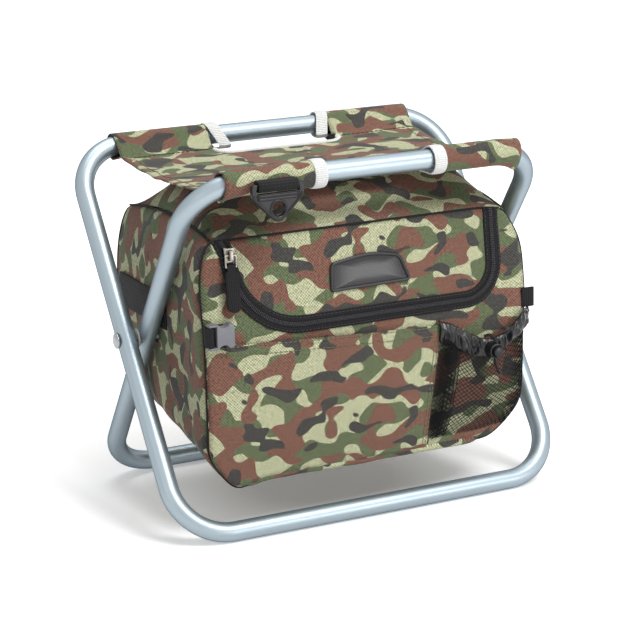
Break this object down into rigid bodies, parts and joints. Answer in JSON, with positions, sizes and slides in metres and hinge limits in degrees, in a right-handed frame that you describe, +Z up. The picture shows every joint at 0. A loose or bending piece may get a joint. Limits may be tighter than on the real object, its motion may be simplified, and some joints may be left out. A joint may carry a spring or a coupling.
{
  "type": "folding cooler stool",
  "caption": "Low folding stool: crossed steel tube loops hold a camouflage sling seat with handle cut-outs and an insulated bag with a zipped flap and pockets under it",
  "frame": {"origin": "on the floor under the middle of the opened stool", "axes": "+X to the stool's right seen from the front, along the bars; the front with the flap and pockets faces -Y; +Z up"},
  "size_m": [0.3624, 0.2426, 0.2963],
  "materials": {
    "silver_tube": "silver powder coat on steel tube",
    "rivet_steel": "plated steel rivet",
    "nylon": "natural nylon",
    "camo_cloth": "woven polyester with a woodland camouflage print",
    "white_binding": "white binding tape",
    "black_webbing": "black ribbed webbing",
    "dark_moulding": "dark grey moulded plastic",
    "grey_buckle": "grey satin moulded plastic",
    "foam": "closed-cell insulating foam",
    "silver_lining": "wipe-clean lining",
    "black_zip": "black zip tape with a coil",
    "zip_metal": "plated zip metal",
    "satin_patch": "plain satin patch with a stitched border",
    "black_net": "black knitted net"
  },
  "bodies": {
    "bag": {"bag_front_panel": "camo_cloth", "bag_back_panel": "camo_cloth", "bag_gusset": "camo_cloth", "bag_top_panel": "camo_cloth", "insulation_foam": "foam", "cooler_lining": "silver_lining", "seat_panel": "camo_cloth", "cutout_binding_front": "white_binding", "cutout_binding_rear": "white_binding", "zip_tape_fixed": "black_zip", "front_pocket": "camo_cloth", "net_pocket": "black_net", "net_pocket_hem": "black_webbing", "hem_drawcord": "black_webbing", "cord_lock_barrel": "dark_moulding", "buckle_webbing": "black_webbing", "side_tab_right": "black_webbing", "side_band_left": "black_webbing", "side_band_right": "black_webbing"},
    "outer_frame": {"outer_tube": "silver_tube", "pivot_rivet_left": "rivet_steel", "pivot_rivet_right": "rivet_steel", "seat_sleeve_rear_left": "camo_cloth", "seat_sleeve_rear_right": "camo_cloth", "binding_collar_rear_left": "white_binding", "binding_collar_rear_right": "white_binding", "strap_loop_rear": "black_webbing"},
    "inner_frame": {"inner_tube": "silver_tube", "pivot_washer_left": "nylon", "pivot_washer_right": "nylon", "seat_sleeve_front_left": "camo_cloth", "seat_sleeve_front_right": "camo_cloth", "binding_collar_front_left": "white_binding", "binding_collar_front_right": "white_binding", "strap_loop_front": "black_webbing"},
    "strap_ring_front": {"strap_ring_front": "dark_moulding"},
    "strap_ring_rear": {"strap_ring_rear": "dark_moulding"},
    "door": {"front_door": "camo_cloth", "door_insulation": "foam", "zip_tape_door": "black_zip", "door_patch": "satin_patch"},
    "zip_slider": {"zip_slider": "zip_metal"},
    "zip_pull": {"zip_pull_link": "zip_metal", "zip_pull_tab": "black_webbing"},
    "buckle": {"corner_buckle": "grey_buckle"},
    "cord_lock_button": {"cord_lock_button": "dark_moulding"}
  },
  "joints": [
    {"name": "fold_outer", "type": "hinge", "parent": "bag", "child": "outer_frame", "pos_m": [0, 0, 0.14692], "axis": [1, 0, 0], "range_deg": [0, 30], "deforming": ["seat_panel"]},
    {"name": "fold_inner", "type": "hinge", "parent": "bag", "child": "inner_frame", "pos_m": [0, 0, 0.14692], "axis": [-1, 0, 0], "range_deg": [0, 30], "deforming": ["seat_panel"]},
    {"name": "strap_ring_front_swing", "type": "hinge", "parent": "inner_frame", "child": "strap_ring_front", "pos_m": [-0.088, -0.11679, 0.283], "axis": [-1, 0, 0], "range_deg": [0, 100]},
    {"name": "strap_ring_rear_swing", "type": "hinge", "parent": "outer_frame", "child": "strap_ring_rear", "pos_m": [0.088, 0.11679, 0.283], "axis": [1, 0, 0], "range_deg": [0, 100]},
    {"name": "door_hinge", "type": "hinge", "parent": "bag", "child": "door", "pos_m": [0, -0.0835, 0.238], "axis": [-1, 0, 0], "range_deg": [0, 90]},
    {"name": "zip_run", "type": "hinge", "parent": "door", "child": "zip_slider", "pos_m": [-0.058, -0.08544, 0.22414], "axis": [0, -0.9903, 0.1389], "range_deg": [0, 75]},
    {"name": "zip_pull_swing", "type": "hinge", "parent": "zip_slider", "child": "zip_pull", "pos_m": [-0.11697, -0.09071, 0.22689], "axis": [-0.9994, 0.0047, 0.0336], "range_deg": [0, 100]},
    {"name": "buckle_swing", "type": "hinge", "parent": "bag", "child": "buckle", "pos_m": [-0.1415, -0.101, 0.1675], "axis": [0, 0, -1], "range_deg": [0, 100]},
    {"name": "cord_lock_press", "type": "slide", "parent": "bag", "child": "cord_lock_button", "axis": [0, 1, 0], "range_m": [0, 0.002], "stiffness_N_per_m": 400}
  ],
  "couplings": [
    {"joint": "fold_inner", "follows": "fold_outer", "ratio": 1}
  ]
}
